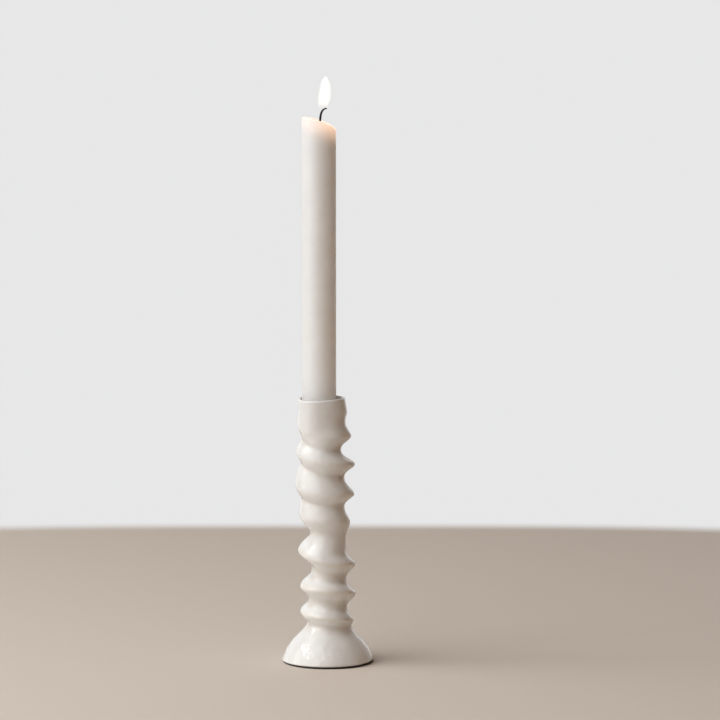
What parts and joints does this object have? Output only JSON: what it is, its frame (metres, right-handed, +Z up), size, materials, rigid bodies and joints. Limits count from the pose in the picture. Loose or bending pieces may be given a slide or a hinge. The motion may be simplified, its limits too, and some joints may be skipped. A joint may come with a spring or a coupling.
{
  "type": "candle holder",
  "caption": "Tall ceramic candle holder with a twisted, ridged stem on a bell foot, and a straight candle standing in its socket.",
  "frame": {"origin": "middle of the box round the object, at the height of the face that it stands on", "axes": "+Z up along the stem towards the wick, +X to the viewer's right in the picture, +Y away from the viewer"},
  "size_m": [0.0598, 0.0598, 0.358],
  "materials": {
    "glaze": "gloss",
    "felt": "matt",
    "wax": "satin",
    "cotton": "matt"
  },
  "bodies": {
    "holder": {"holder_body": "glaze", "base_pad": "felt"},
    "taper": {"candle": "wax", "wick": "cotton"}
  },
  "joints": [
    {"name": "candle_lift", "type": "slide", "parent": "holder", "child": "taper", "axis": [0, 0, 1], "range_m": [0, 0.04]}
  ]
}
